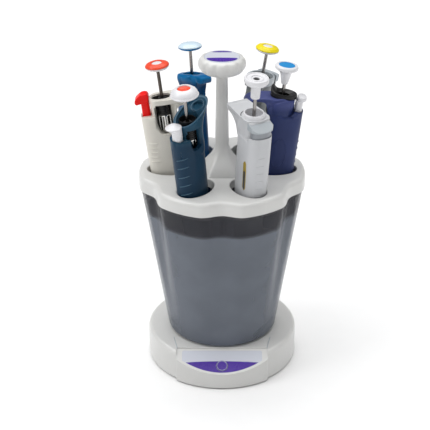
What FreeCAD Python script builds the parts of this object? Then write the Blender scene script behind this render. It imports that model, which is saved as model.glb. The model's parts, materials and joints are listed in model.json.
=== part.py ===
import FreeCAD, Part
import math
import os
from FreeCAD import Vector

# Pipette carousel: a base with a turntable, a smoked tub, a lobed lid with a
# carrying post, and six single-channel pipettes standing in the lid.
# Millimetres. +Z is up, the control panel faces -Y, the turning axis is X = Y = 0.

os.makedirs("parts", exist_ok=True)

# ---- driving dimensions: stand -------------------------------------------------
SEAT = 0.03                 # seating gap between fixed neighbours
FOOT_H = 1.6
BASE_R = 74.2
BASE_H = 31.9
BASE_WALL = 3.0
CHIN_BACK_Y = -52.0         # top of the sloped panel
CHIN_FRONT_Y = -77.0
CHIN_BREAK_Z = 17.5         # foot of the sloped panel
CHIN_HALF = 45.0
PANEL_T = 0.8
PANEL_HALF = 39.3
PANEL_UP = (1.0, 26.3)        # lower and upper edge, measured up the slope
BUTTON_R = 5.4
BUTTON_UP = 9.3             # button centre, measured up the slope from the break
BEARING_R = (17.5, 27.0)
BEARING_Z = (28.4, 33.1)
TUB_BOTTOM_Z = 33.4
TUB_BOTTOM_R = 51.3
TUB_SIDE = ((36.5, 54.0), (190.0, 78.6))
TUB_WALL = 2.5
TUB_TOP_Z = 189.4
LINER_TOP_Z = 165.0
LID_R = 80.0
LID_BOTTOM_Z = 189.7
LID_TOP_Z = 203.4
LID_WALL = 3.0
NOTCH_DEPTH = 6.7
NOTCH_HALF_DEG = 16.0
HOLE_R = 49.2               # lid oval: centre radius and half axes
HOLE_HALF = (22.5, 15.0)
HUB_APOTHEM = 22.6
POST_R = (6.5, 5.25)
POST_TOP_Z = 312.0
KNOB_Z = (301.8, 317.4)
KNOB_R = 22.6
BADGE_R = 16.5
LAMP_R = 4.6
LAMP_TOP_Z = 176.0

# ---- driving dimensions: pipettes (u outward, v tangential, w along the axis) ---
SHOULDER_W = 59.0
HANDLE_BOTTOM_W = -60.0
NOZZLE_TIP_W = -156.0
EJECTOR_ROD = (12.0, 1.3)   # place and radius of the rod inside the handle
ROD_R = 1.6


# ---- helpers ------------------------------------------------------------------
def ring_points(radius_at, z, count):
    step = 2.0 * math.pi / count
    return [
        Vector(radius_at(i * step) * math.cos(i * step), radius_at(i * step) * math.sin(i * step), z)
        for i in range(count)
    ]


def smooth_wire(points):
    curve = Part.BSplineCurve()
    curve.interpolate(points, PeriodicFlag=True)
    return Part.Wire([curve.toShape()])


def loft(wires, ruled=False):
    return Part.makeLoft(wires, True, ruled)


def prism(wire, vector):
    return Part.Face(wire).extrude(vector)


def polygon(points):
    return Part.makePolygon(points + [points[0]])


def turned(profile):
    """Solid of revolution about Z from a list of (radius, z) corners."""
    wire = polygon([Vector(r, 0, z) for r, z in profile])
    return Part.Face(wire).revolve(Vector(0, 0, 0), Vector(0, 0, 1), 360)


def tube(r_out, r_in, z0, z1):
    outer = Part.makeCylinder(r_out, z1 - z0, Vector(0, 0, z0))
    return outer.cut(Part.makeCylinder(r_in, z1 - z0, Vector(0, 0, z0)))


def rounded_edges(shape, radius, keep):
    """Round every edge whose midpoint passes the keep test."""
    chosen = []
    for edge in shape.Edges:
        middle = edge.valueAt(0.5 * (edge.FirstParameter + edge.LastParameter))
        if keep(edge, middle):
            chosen.append(edge)
    return shape.makeFillet(radius, chosen)


def union(shapes):
    solid = shapes[0]
    for other in shapes[1:]:
        solid = solid.fuse(other)
    return solid.removeSplitter()


def save(name, shape):
    shape.exportStep("parts/" + name + ".step")


# ---- stand outlines -----------------------------------------------------------
def notch(angle):
    """0..1 depth of the six flutes that sit between the pipette places."""
    away = abs((math.degrees(angle) - 30.0 + 30.0) % 60.0 - 30.0)
    if away >= NOTCH_HALF_DEG:
        return 0.0
    return 0.5 * (1.0 + math.cos(math.pi * away / NOTCH_HALF_DEG))


def lobed_wire(radius, depth, z):
    return smooth_wire(ring_points(lambda a: radius - depth * notch(a), z, 120))


def tub_radius(z):
    (z0, r0), (z1, r1) = TUB_SIDE
    return r0 + (z - z0) * (r1 - r0) / (z1 - z0)


def flute_depth(z):
    (z0, _), (z1, _) = TUB_SIDE
    return NOTCH_DEPTH * max(0.0, (z - z0) / (z1 - z0))


def tub_solid(inset, z0, z1):
    wires = [lobed_wire(tub_radius(z) - inset, flute_depth(z), z) for z in (z0, z1)]
    return loft(wires, ruled=True)


# ---- base ---------------------------------------------------------------------
SLOPE = (BASE_H - 0.4 - CHIN_BREAK_Z) / (CHIN_BACK_Y - CHIN_FRONT_Y)


def above_slope(half, drop):
    """Everything over the control block that stands above its sloped face."""
    y0, y1 = CHIN_FRONT_Y - 10.0, CHIN_BACK_Y + 4.0
    z0 = CHIN_BREAK_Z - drop - 10.0 * SLOPE
    z1 = BASE_H - 0.4 - drop + 4.0 * SLOPE
    wire = polygon([Vector(-half, y, z) for y, z in ((y0, z0), (y1, z1), (y1, 60.0), (y0, 60.0))])
    return prism(wire, Vector(2 * half, 0, 0))


def chin_block(inset, z0, z1):
    """Front control block: a slice of a slightly larger disc."""
    disc = Part.makeCylinder(-CHIN_FRONT_Y - inset, z1 - z0, Vector(0, 0, z0))
    half = CHIN_HALF - inset
    block = disc.common(Part.makeBox(2 * half, 60.0, z1 - z0, Vector(-half, -90.0, z0)))
    if inset > 0.0:
        return block
    mid_z = 0.5 * (z0 + z1)

    def front_corner(edge, middle):
        on_side = abs(abs(middle.x) - half) < 0.1
        return on_side and middle.y < -60.0 and abs(middle.z - mid_z) < 0.1
    return rounded_edges(block, 2.0, front_corner)


PANEL_ANGLE = math.degrees(math.atan2(BASE_H - 0.4 - CHIN_BREAK_Z, CHIN_BACK_Y - CHIN_FRONT_Y))


def on_panel(shape):
    """Move a shape drawn on X-Y (Y up the slope, Z out of it) onto the sloped panel."""
    turn = FreeCAD.Rotation(Vector(1, 0, 0), PANEL_ANGLE)
    shape.Placement = FreeCAD.Placement(Vector(0, CHIN_FRONT_Y, CHIN_BREAK_Z), turn)
    return shape


def panel_blank(half_x, y0, y1, z0, z1, corner):
    block = Part.makeBox(2 * half_x, y1 - y0, z1 - z0, Vector(-half_x, y0, z0))
    return rounded_edges(block, corner, lambda e, m: abs(m.z - 0.5 * (z0 + z1)) < 1e-3)


def panel_sheet(shrink, height):
    """Overlay outline: straight top and sides, front edge following the block."""
    low, high = PANEL_UP
    sheet = panel_blank(PANEL_HALF - shrink, low, high - shrink, -PANEL_T + shrink, height, 2.0)
    trim = Part.makeCylinder(-CHIN_FRONT_Y - 2.2 - shrink, 60.0, Vector(0, 0, 0))
    return on_panel(sheet).common(trim)


def make_base_housing():
    disc = Part.makeCylinder(BASE_R, BASE_H - FOOT_H, Vector(0, 0, FOOT_H))
    disc = rounded_edges(disc, 4.0, lambda e, m: m.z > BASE_H - 0.1)
    outer = disc.fuse(chin_block(0.0, FOOT_H, BASE_H)).cut(above_slope(CHIN_HALF, 0.0))
    cavity = Part.makeCylinder(BASE_R - BASE_WALL, BASE_H - FOOT_H - 3.0, Vector(0, 0, FOOT_H - 0.01))
    cavity = cavity.fuse(chin_block(BASE_WALL, FOOT_H - 0.01, BASE_H - 3.01))
    shell = outer.cut(cavity.cut(above_slope(CHIN_HALF + 2.0, 3.6)))
    # deck well that carries the turntable bearing, and the lamp-socket collar
    well = tube(BEARING_R[1] + 3.0, 15.0, BEARING_Z[0] - 3.0, BASE_H - 2.0)
    shell = shell.fuse(well)
    shell = shell.cut(Part.makeCylinder(BEARING_R[1] + SEAT, 10.0, Vector(0, 0, BEARING_Z[0])))
    shell = shell.cut(Part.makeCylinder(15.0, 40.0, Vector(0, 0, 0)))
    # panel recess and button hole
    shell = shell.cut(panel_sheet(0.0, 4.0))
    shell = shell.cut(on_panel(Part.makeCylinder(BUTTON_R + 0.4, 12.0, Vector(0, BUTTON_UP, -8.0))))
    # inlet opening in the rear wall
    shell = shell.cut(Part.makeBox(11.2, 10.0, 11.2, Vector(-5.6, BASE_R - 6.0, 8.4)))
    # posts for the bottom screws
    for x, y in screw_places():
        shell = shell.fuse(tube_at(3.6, 1.3, x, y, 4.2, BASE_H - 2.9))
    return shell.removeSplitter()


def tube_at(r_out, r_in, x, y, z0, z1):
    boss = tube(r_out, r_in, z0, z1)
    boss.translate(Vector(x, y, 0))
    return boss


def screw_places():
    angles = [math.radians(a) for a in (35, 145, 215, 325)]
    return [(58.0 * math.cos(a), 58.0 * math.sin(a)) for a in angles]


def make_base_plate():
    plate = Part.makeCylinder(BASE_R - BASE_WALL - 0.2, 2.4, Vector(0, 0, FOOT_H))
    plate = plate.fuse(chin_block(BASE_WALL + 0.2, FOOT_H, FOOT_H + 2.4)).removeSplitter()
    for x, y in screw_places():
        plate = plate.cut(Part.makeCylinder(1.8, 6.0, Vector(x, y, 0)))
    return plate


def make_rubber_feet():
    feet = []
    for a in (0, 60, 120, 180, 240, 300):
        foot = Part.makeCone(5.5, 6.2, FOOT_H - SEAT, Vector(0, 0, 0))
        foot.translate(Vector(62.0 * math.cos(math.radians(a)), 62.0 * math.sin(math.radians(a)), 0))
        feet.append(foot)
    return Part.makeCompound(feet)


def make_base_screws():
    screws = []
    for x, y in screw_places():
        head = Part.makeCylinder(2.8, 0.9, Vector(x, y, FOOT_H - 0.92))
        head = head.cut(Part.makeBox(3.6, 0.6, 0.5, Vector(x - 1.8, y - 0.3, FOOT_H - 1.0)))
        shank = Part.makeCylinder(1.25, 12.0, Vector(x, y, FOOT_H - 0.05))
        screws.append(head.fuse(shank))
    return Part.makeCompound(screws)


def make_control_panel():
    hole = Part.makeCylinder(BUTTON_R + 0.3, 4.0, Vector(0, BUTTON_UP, -2.0))
    return panel_sheet(SEAT, 0.0).cut(on_panel(hole))


def make_start_button():
    cap = Part.makeCylinder(BUTTON_R, 4.4, Vector(0, BUTTON_UP, -3.6))
    cap = rounded_edges(cap, 0.5, lambda e, m: m.z > 0.7)
    stem = Part.makeCylinder(1.6, 3.0, Vector(0, BUTTON_UP, -6.4))
    return on_panel(cap.fuse(stem))


def make_circuit_board():
    board = Part.makeBox(48.0, 16.0, 1.6, Vector(-24.0, 5.0, -11.6))
    switch = Part.makeBox(6.2, 6.2, 2.4, Vector(-3.1, BUTTON_UP - 3.1, -10.0))
    parts = [board, switch]
    for x, w, h in ((-18.0, 7.0, 2.6), (-9.0, 5.0, 3.2), (9.0, 6.0, 2.0), (18.0, 6.0, 3.0)):
        parts.append(Part.makeBox(w, 7.0, h, Vector(x - 0.5 * w, 9.0, -10.0)))
    return on_panel(union(parts))


def make_power_inlet():
    """Low-voltage jack in the rear wall: a collar in front of a wider pin cavity."""
    body = Part.makeBox(10.8, 12.0, 10.8, Vector(-5.4, BASE_R - 13.6, 8.6))
    flange = Part.makeBox(13.6, 1.4, 13.6, Vector(-6.8, BASE_R - 5.4, 7.2))
    axis = Vector(0, 1, 0)
    body = body.fuse(flange)
    body = body.cut(Part.makeCylinder(2.8, 4.0, Vector(0, BASE_R - 4.8, 14.0), axis))
    body = body.cut(Part.makeCylinder(3.6, 6.0, Vector(0, BASE_R - 10.8, 14.0), axis))
    return body.fuse(Part.makeCylinder(1.0, 3.4, Vector(0, BASE_R - 11.0, 14.0), axis))


def make_bearing_ring():
    """Thin turntable bearing: two raceways with the balls between them."""
    z0, z1 = BEARING_Z
    lower = tube(BEARING_R[1], BEARING_R[0], z0 + SEAT, z0 + 1.7)
    upper = tube(BEARING_R[1] - 0.8, BEARING_R[0] + 0.4, z1 - 1.5, z1)
    cage = tube(23.4, 21.2, z0 + 1.7, z1 - 1.5)
    balls = []
    for k in range(16):
        a = 2.0 * math.pi * k / 16.0
        place = Vector(22.3 * math.cos(a), 22.3 * math.sin(a), 0.5 * (z0 + z1) + 0.1)
        balls.append(Part.makeSphere(1.25, place))
    return union([lower, cage, upper] + balls)


def make_lamp_socket():
    socket = turned([(0, 6), (13.0, 6), (13.0, 10), (12.0, 10), (12.0, 50), (10.5, 52), (0, 52)])
    for x in (-6.2, 6.2):
        socket = socket.cut(Part.makeCylinder(LAMP_R + 0.05, 12.0, Vector(x, 0, 44.0)))
    return socket


def make_uv_lamps():
    """One U-shaped germicidal lamp: two legs joined by a bridge."""
    legs = []
    for x in (-6.2, 6.2):
        leg = Part.makeCylinder(LAMP_R, LAMP_TOP_Z - 44.0 - SEAT, Vector(x, 0, 44.0 + SEAT))
        legs.append(rounded_edges(leg, 3.0, lambda e, m: m.z > LAMP_TOP_Z - 0.1))
    bridge = Part.makeCylinder(2.2, 12.4, Vector(-6.2, 0, LAMP_TOP_Z - 9.0), Vector(1, 0, 0))
    return union(legs + [bridge])


# ---- carousel -----------------------------------------------------------------
def make_tub():
    side = tub_solid(0.0, TUB_SIDE[0][0], TUB_TOP_Z)
    (side_z, side_r), floor_z = TUB_SIDE[0], TUB_SIDE[0][0] + 0.8
    foot = turned([(0, TUB_BOTTOM_Z), (TUB_BOTTOM_R, TUB_BOTTOM_Z), (side_r - 1.0, side_z - 1.4),
                   (side_r - 0.05, side_z + 0.2), (side_r - 1.2, floor_z), (0, floor_z)])
    cavity = tub_solid(TUB_WALL, floor_z, TUB_TOP_Z + 0.6)
    tub = side.fuse(foot).cut(cavity)
    return tub.cut(Part.makeCylinder(15.5, 20.0, Vector(0, 0, 25.0)))


def make_reflector_liner():
    outer = tub_solid(TUB_WALL + 0.5, 44.0, LINER_TOP_Z)
    inner = tub_solid(TUB_WALL + 1.7, 43.0, LINER_TOP_Z + 1.0)
    return outer.cut(inner)


def make_tip_rest():
    """Ring on the tub floor with one wide cup under each nozzle."""
    ring = tube(47.0, 19.0, 42.5, 46.5).fuse(tube(46.0, 43.5, TUB_SIDE[0][0] + 0.8 + SEAT, 43.0))
    for name in sorted(PIPETTES):
        start = place_of(name).multVec(Vector(0, 0, NOZZLE_TIP_W - 12.0))
        end = place_of(name).multVec(Vector(0, 0, NOZZLE_TIP_W + 22.0))
        ring = ring.cut(Part.makeCylinder(6.4, (end - start).Length, start, end - start))
    return ring


# ---- lid, post and knob --------------------------------------------------------
def make_lid():
    blank = prism(lobed_wire(LID_R, NOTCH_DEPTH, LID_BOTTOM_Z), Vector(0, 0, LID_TOP_Z - LID_BOTTOM_Z))
    blank = rounded_edges(blank, 4.5, lambda e, m: m.z > LID_TOP_Z - 0.1)
    cavity = prism(lobed_wire(LID_R - LID_WALL, NOTCH_DEPTH, LID_BOTTOM_Z - 0.1),
                   Vector(0, 0, LID_TOP_Z - LID_BOTTOM_Z - 4.5))
    lid = blank.cut(cavity)
    rib_r = tub_radius(184.0) - TUB_WALL - 0.6
    rib = prism(lobed_wire(rib_r, NOTCH_DEPTH, 184.0), Vector(0, 0, 15.5))
    rib = rib.cut(prism(lobed_wire(rib_r - 2.0, NOTCH_DEPTH, 183.0), Vector(0, 0, 20.0)))
    lid = lid.fuse(rib)
    for k in range(6):
        lid = lid.fuse(oval_at(60 * k, 2.2, LID_TOP_Z - 8.5, LID_TOP_Z - 2.0))
    for k in range(6):
        lid = lid.cut(oval_at(60 * k, 0.0, LID_TOP_Z - 14.0, LID_TOP_Z + 1.0))
    lid = rounded_edges(lid, 1.0, lambda e, m: m.z > LID_TOP_Z - 0.05 and math.hypot(m.x, m.y) < 72.5)
    return lid.cut(Part.makeCylinder(3.2, 10.0, Vector(0, 0, LID_TOP_Z - 6.0)))


def oval_at(angle, grow, z0, z1):
    ellipse = Part.Ellipse(Vector(0, 0, 0), HOLE_HALF[0] + grow, HOLE_HALF[1] + grow)
    solid = prism(Part.Wire([ellipse.toShape()]), Vector(0, 0, z1 - z0))
    solid.translate(Vector(HOLE_R, 0, z0))
    solid.rotate(Vector(0, 0, 0), Vector(0, 0, 1), angle)
    return solid


def hexagon_wire(apothem, sharpness, z):
    """Hexagon with one flat facing -Y; low sharpness gives a circle."""
    def radius(angle):
        total = 0.0
        for k in range(3):
            total += (abs(math.cos(angle - math.radians(30 + 60 * k))) / apothem) ** sharpness
        return total ** (-1.0 / sharpness)
    return smooth_wire(ring_points(radius, z, 96))


def make_hub_post():
    top = LID_TOP_Z + SEAT
    round_up = math.sqrt(1.5)
    wires = [
        hexagon_wire(HUB_APOTHEM, 14, top),
        hexagon_wire(HUB_APOTHEM - 1.2, 14, top + 2.0),
        hexagon_wire(16.0, 12, top + 9.0),
        hexagon_wire(11.5, 8, top + 14.5),
        hexagon_wire(8.6, 4, top + 20.0),
        hexagon_wire(POST_R[0] * round_up, 2, top + 29.0),
    ]
    neck = hexagon_wire(POST_R[1] * round_up, 2, 303.0)
    post = loft([wires[-1], neck], ruled=True)
    tip = Part.makeCylinder(POST_R[1] - 0.15, POST_TOP_Z - 302.5, Vector(0, 0, 302.5))
    spigot = Part.makeCylinder(3.1, 8.0, Vector(0, 0, LID_TOP_Z - 7.0))
    return union([loft(wires), post, tip, spigot])


def make_knob():
    z0, z1 = KNOB_Z
    bore = POST_R[1] + 0.1
    profile = [(bore, z0), (14.5, z0), (18.8, z0 + 2.0), (21.6, z0 + 5.2), (KNOB_R, z0 + 9.0),
               (22.1, z0 + 12.4), (20.2, z0 + 14.6), (BADGE_R + 0.5, z1 + 0.05), (BADGE_R + SEAT, z1 - 0.2),
               (BADGE_R + SEAT, z1 - 1.4), (0, z1 - 1.4), (0, POST_TOP_Z + SEAT), (bore, POST_TOP_Z + SEAT)]
    knob = turned(profile)
    for k in range(12):
        a = math.radians(30 * k + 15)
        x, y = 25.4 * math.cos(a), 25.4 * math.sin(a)
        knob = knob.cut(Part.makeCylinder(4.2, 30.0, Vector(x, y, z0 - 5.0)))
    return knob


def make_knob_badge():
    badge = Part.makeCylinder(BADGE_R, 1.3, Vector(0, 0, KNOB_Z[1] - 1.4 + SEAT))
    return rounded_edges(badge, 0.4, lambda e, m: m.z > KNOB_Z[1] - 0.2)


# ---- pipettes -----------------------------------------------------------------
# at: angle, axis radius, tangential offset, outward lean, sideways lean (all at the lid top)
#     and turn about its own axis
# body, top: inner and outer u, half width in v (and squareness) of the grip and of the head
# window: side, centre u, lower w, upper w, half width
PIPETTES = {
    "a": dict(
        at=(180, 47.0, 0.0, 7.1, 0.0, 0.0), body=(-12.0, 21.5, 11.6, 2.9),
        top_w=79.0, top=(-12.0, 12.0, 12.2), button_w=104.0, window=(1, 1.5, 45.0, 72.5, 6.6)),
    "b": dict(
        at=(240, 50.5, 0.0, 6.0, -2.2, -7.0), body=(-13.0, 20.0, 11.8, 2.3),
        top_w=75.0, top=(-13.0, 12.0, 12.6), button_w=97.0, window=(1, 6.2, 48.5, 66.0, 4.8)),
    "c": dict(
        at=(120, 49.5, 0.0, 6.0, 0.3, 0.0), body=(-13.0, 20.0, 11.6, 2.4),
        top_w=76.0, top=(-12.0, 11.5, 11.6), button_w=103.5, window=(-1, 2.0, 44.0, 62.0, 4.6)),
    "d": dict(
        at=(300, 49.5, 0.0, 6.0, 0.0, 0.0), body=(-13.0, 20.0, 11.8, 2.9),
        top_w=76.0, top=(-12.5, 12.0, 11.8), button_w=100.0, window=None),
    "e": dict(
        at=(0, 48.0, 0.0, 6.6, 0.0, 0.0), body=(-13.0, 20.5, 12.2, 2.5),
        top_w=71.5, top=(-13.0, 12.0, 12.4), button_w=96.0, window=(-1, -9.0, 58.0, 66.5, 2.6)),
    "f": dict(
        at=(60, 50.5, -1.2, 6.0, -7.3, 0.0), body=(-13.0, 19.0, 11.1, 2.5),
        top_w=77.0, top=(-12.5, 12.0, 11.8), button_w=104.0, window=(-1, 2.0, 44.0, 62.0, 4.6)),
}

# finger hooks: (u, w) outline and half width
HOOKS = {
    "a": ([(8, 74), (-8, 77), (-20, 77), (-28, 72), (-30, 66),
           (-27, 65), (-21, 68), (-12, 62), (-9, 52), (4, 56)], 9.0),
    "c": ([(8, 80), (-4, 77), (-16, 77), (-27, 81), (-32, 81),
           (-31, 77), (-22, 73), (-14, 68), (-9, 56), (6, 60)], 10.6),
    "d": ([(10, 76), (-8, 76), (-22, 76), (-31, 76.5), (-32, 75),
           (-26, 72), (-17, 68), (-11, 61), (-8, 54), (6, 60)], 10.8),
    "e": ([(9, 70.5), (-4, 74.5), (-16, 75), (-28, 72.5), (-35, 68),
           (-35.5, 66), (-30, 66), (-20, 67), (-11, 60), (5, 58)], 10.6),
    "f": ([(8, 75), (-6, 77), (-17, 78), (-25, 76), (-28, 71),
           (-25, 69), (-19, 70), (-12, 63), (-9, 52), (5, 56)], 9.4),
}

# dished head of pipette b: a leaning oval column cut off by a sloping plane
DISH_SLOPE = 0.4            # fall of the plane per millimetre outward
DISH_RIM = 2.0
DISH_DEPTH = 2.0
DISH_RECESS = (-16.2, 5.2, 1.5)     # centre u, radius and further depth of the round recess
DISH_COLUMN = ((40.0, -12.6, 11.0, 12.2), (59.0, -12.6, 12.0, 12.5), (70.0, -15.0, 12.4, 12.9),
               (80.0, -22.0, 12.0, 12.9), (90.0, -28.0, 6.0, 12.7))


def place_of(name):
    """Placement that carries a pipette from its own axes to its place in the lid."""
    angle, radius, offset, lean_out, lean_side, turn = PIPETTES[name]["at"]
    around = FreeCAD.Rotation(Vector(0, 0, 1), angle)
    outward = FreeCAD.Rotation(Vector(0, 1, 0), lean_out)
    sideways = FreeCAD.Rotation(Vector(1, 0, 0), -lean_side)
    turned_by = FreeCAD.Rotation(Vector(0, 0, 1), turn)
    where = around.multVec(Vector(radius, offset, 0)) + Vector(0, 0, LID_TOP_Z)
    return FreeCAD.Placement(where, around.multiply(outward).multiply(sideways).multiply(turned_by))


def placed(name, shape):
    shape.Placement = place_of(name).multiply(shape.Placement)
    return shape


def oval_section(w, u0, u1, half_v, power):
    """Closed rounded outline (superellipse) in the u-v plane."""
    points = []
    for i in range(32):
        a = 2.0 * math.pi * i / 32.0
        c, s = math.cos(a), math.sin(a)
        u = math.copysign(abs(c) ** (2.0 / power), c)
        v = math.copysign(abs(s) ** (2.0 / power), s)
        points.append(Vector(0.5 * (u0 + u1) + 0.5 * (u1 - u0) * u, half_v * v, w))
    return smooth_wire(points)


def cushion(outline, half, softness):
    """Solid with a side outline in u-w, drawn across v with softened cheeks."""
    centre_u = sum(u for u, _ in outline) / len(outline)
    centre_w = sum(w for _, w in outline) / len(outline)
    wires = []
    for across in (-1.0, -0.985, -0.94, -0.86, -0.7, 0.7, 0.86, 0.94, 0.985, 1.0):
        cheek = min(1.0, max(0.0, (abs(across) - 0.7) / 0.3))
        scale = 1.0 - softness * (1.0 - math.sqrt(1.0 - cheek * cheek))
        points = [
            Vector(centre_u + (u - centre_u) * scale, across * half, centre_w + (w - centre_w) * scale)
            for u, w in outline
        ]
        wires.append(smooth_wire(points))
    return loft(wires, ruled=True)


def hook_solid(name):
    outline, half = HOOKS[name]
    return cushion(outline, half, 0.12)


def over_dish(drop):
    """Everything above the sloping plane of the dished head, lowered by a given depth."""
    level = PIPETTES["b"]["top_w"] - drop
    inner, outer = level + 45.0 * DISH_SLOPE, level - 30.0 * DISH_SLOPE
    outline = ((-45.0, inner), (30.0, outer), (30.0, 130.0), (-45.0, 130.0))
    return prism(polygon([Vector(u, -30.0, w) for u, w in outline]), Vector(0, 60.0, 0))


def dished_head():
    """Head with a raised oval rim, a shallow dish and a round recess in the hook."""
    power = PIPETTES["b"]["body"][3]
    head = loft([oval_section(w, u0, u1, half, power) for w, u0, u1, half in DISH_COLUMN])
    inner = loft([
        oval_section(w, u0 + DISH_RIM, u1 - DISH_RIM, half - DISH_RIM, power)
        for w, u0, u1, half in DISH_COLUMN
    ])
    head = head.cut(over_dish(0.0)).cut(inner.common(over_dish(DISH_DEPTH)))
    centre_u, radius, depth = DISH_RECESS
    up = Vector(DISH_SLOPE, 0, 1)
    on_plane = Vector(centre_u, 0, PIPETTES["b"]["top_w"] - centre_u * DISH_SLOPE)
    floor = on_plane - up * (DISH_DEPTH + depth)
    return head.cut(Part.makeCylinder(radius, 30.0, floor, up))


def handle_blank(name):
    spec = PIPETTES[name]
    u0, u1, half, power = spec["body"]
    lower = loft([
        oval_section(HANDLE_BOTTOM_W, u0 + 2.5, u1 - 3.0, half - 2.0, power),
        oval_section(-30.0, u0 + 1.0, u1 - 1.5, half - 0.8, power),
        oval_section(0.0, u0, u1 - 0.3, half, power),
        oval_section(32.0, u0, u1 + 0.3, half + 0.5, power),
        oval_section(SHOULDER_W, u0, u1 + 0.6, half + 0.6, power),
    ])
    if name not in HOOKS:
        return lower.cut(over_dish(0.0)).fuse(dished_head())
    t0, t1, top_half = spec["top"]
    upper = loft([
        oval_section(40.0, u0 + 0.4, t1 - 1.0, half - 0.4, power),
        oval_section(SHOULDER_W, u0 + 0.4, t1 - 0.4, half + 0.1, power),
        oval_section(spec["top_w"], t0, t1, top_half, power),
    ])
    return lower.fuse(upper).fuse(hook_solid(name))


def stem_slot(name):
    """Inner face and depth (u) of the ejector stem beside the upper body."""
    spec = PIPETTES[name]
    face = spec["top"][1] + 0.7
    return face, min(7.6, spec["body"][1] + 0.6 - face - 1.6)


def make_handle(name):
    spec = PIPETTES[name]
    top = spec["top_w"]
    solid = handle_blank(name)
    # bowl round the plunger, dial cavity and the bore below it
    mouth = 9.4 if name in HOOKS else 15.5
    solid = solid.cut(Part.makeCone(7.6, mouth, 30.0, Vector(0, 0, top - 9.0)))
    solid = solid.cut(Part.makeCylinder(7.6, top - 8.9 - 40.0, Vector(0, 0, 40.0)))
    solid = solid.cut(Part.makeCylinder(3.4, 34.0, Vector(0, 0, 7.0)))
    # ejector pocket behind the shoulder and the long channel to the sleeve
    face, width = stem_slot(name)
    solid = solid.cut(Part.makeBox(width + 0.8, 10.6, 60.0, Vector(face - 0.4, -5.3, 41.4)))
    solid = solid.cut(Part.makeBox(face + 3.0 - 9.4, 8.0, 20.0, Vector(9.4, -4.0, 34.4)))
    rod_u, rod_r = EJECTOR_ROD
    solid = solid.cut(Part.makeCylinder(rod_r + 0.5, 97.0, Vector(rod_u, 0, HANDLE_BOTTOM_W - 1.0)))
    # nozzle socket
    solid = solid.cut(Part.makeCylinder(5.05, 6.5, Vector(0, 0, HANDLE_BOTTOM_W - 0.5)))
    if spec["window"]:
        side, centre, low, high, half = spec["window"]
        opening = Part.makeBox(2 * half, 30.0, high - low, Vector(centre - half, 0.0, low))
        opening = rounded_edges(opening, 0.85 * half, lambda e, m: abs(m.y - 15.0) < 1e-3)
        opening.translate(Vector(0, 2.6 if side > 0 else -32.6, 0))
        solid = solid.cut(opening)
    return placed(name, solid)


def make_nozzle(name):
    w = HANDLE_BOTTOM_W
    profile = [(0, w + 5.5), (5.0, w + 5.5), (5.0, w - SEAT), (6.8, w - SEAT), (6.8, w - 30.0),
               (6.0, w - 50.0), (5.0, w - 66.0), (4.4, w - 74.0), (3.2, NOZZLE_TIP_W + 8.0),
               (2.7, NOZZLE_TIP_W), (1.2, NOZZLE_TIP_W),
               (1.2, NOZZLE_TIP_W + 14.0), (0, NOZZLE_TIP_W + 14.0)]
    return placed(name, turned(profile))


def make_dial(name):
    """Volume drum under the bowl; it turns with the plunger."""
    top = PIPETTES[name]["top_w"] - 8.0
    bore = 2.1
    profile = [(bore, 34.0), (3.0, 34.0), (3.0, 44.0), (5.4, 44.0), (5.4, top - 14.0), (6.9, top - 13.0),
               (6.9, top - 2.0), (6.0, top), (4.2, top + 0.6), (3.6, top + 3.4), (bore, top + 3.4)]
    return placed(name, turned(profile))


def plunger_profile(name):
    """(radius, height above the button's lower edge) corners of each button."""
    return {
        "a": [(4.0, -1.4), (9.8, -0.6), (11.3, 1.0), (11.4, 2.6), (10.2, 4.0), (5.6, 5.2), (4.8, 4.5),
              (0, 4.5)],
        "b": [(5.0, -2.2), (10.6, -1.6), (13.2, 0.4), (12.6, 2.8), (9.4, 6.0), (6.6, 7.4), (6.0, 6.2),
              (0, 6.2)],
        "c": [(4.0, -1.2), (9.6, -0.6), (11.4, 0.8), (11.2, 2.4), (8.6, 4.4), (4.6, 5.4), (0, 5.4)],
        "d": [(4.2, -5.0), (4.6, 6.0), (9.6, 8.8), (11.4, 11.4), (11.4, 14.0), (10.6, 15.2), (6.0, 15.2),
              (5.6, 14.6), (0, 14.6)],
        "e": [(2.9, -4.0), (3.6, -2.0), (5.0, 5.0), (8.6, 9.6), (11.0, 11.4), (11.0, 13.4), (10.2, 14.4),
              (7.6, 14.8), (7.2, 14.3), (0, 14.3)],
        "f": [(4.0, -1.4), (9.6, -0.8), (11.4, 0.8), (11.4, 2.6), (9.6, 4.2), (5.4, 5.2), (4.6, 4.6),
              (0, 4.6)],
    }[name]


def make_plunger_button(name):
    base = PIPETTES[name]["button_w"]
    corners = plunger_profile(name)
    low = corners[0][1]
    inner = [(0, low + 4.5), (ROD_R + 0.02, low + 4.5), (ROD_R + 0.02, low)]
    profile = [(r, base + h) for r, h in inner + corners]
    return placed(name, turned(profile))


def make_plunger_rod(name):
    low = PIPETTES[name]["button_w"] + plunger_profile(name)[0][1]
    rod = Part.makeCylinder(ROD_R, low + 4.4 - 26.0, Vector(0, 0, 26.0))
    piston = Part.makeCylinder(2.9, 3.0, Vector(0, 0, 23.0))
    return placed(name, rod.fuse(piston))


EJECTORS = {
    # stem top, then (u, w) outline of the thumb cap and its half width
    "a": (74.0, [(14.2, 80.5), (18, 80.6), (22.5, 78), (25.8, 73.4), (25, 70.8), (21.5, 71),
                 (17.5, 71.2), (14.2, 71.6)], 5.4),
    "d": (67.0, [(14.2, 72), (18, 73), (21, 71), (22, 68), (20, 66.2), (17, 66.4), (14.4, 67.8)], 7.6),
}


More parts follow.
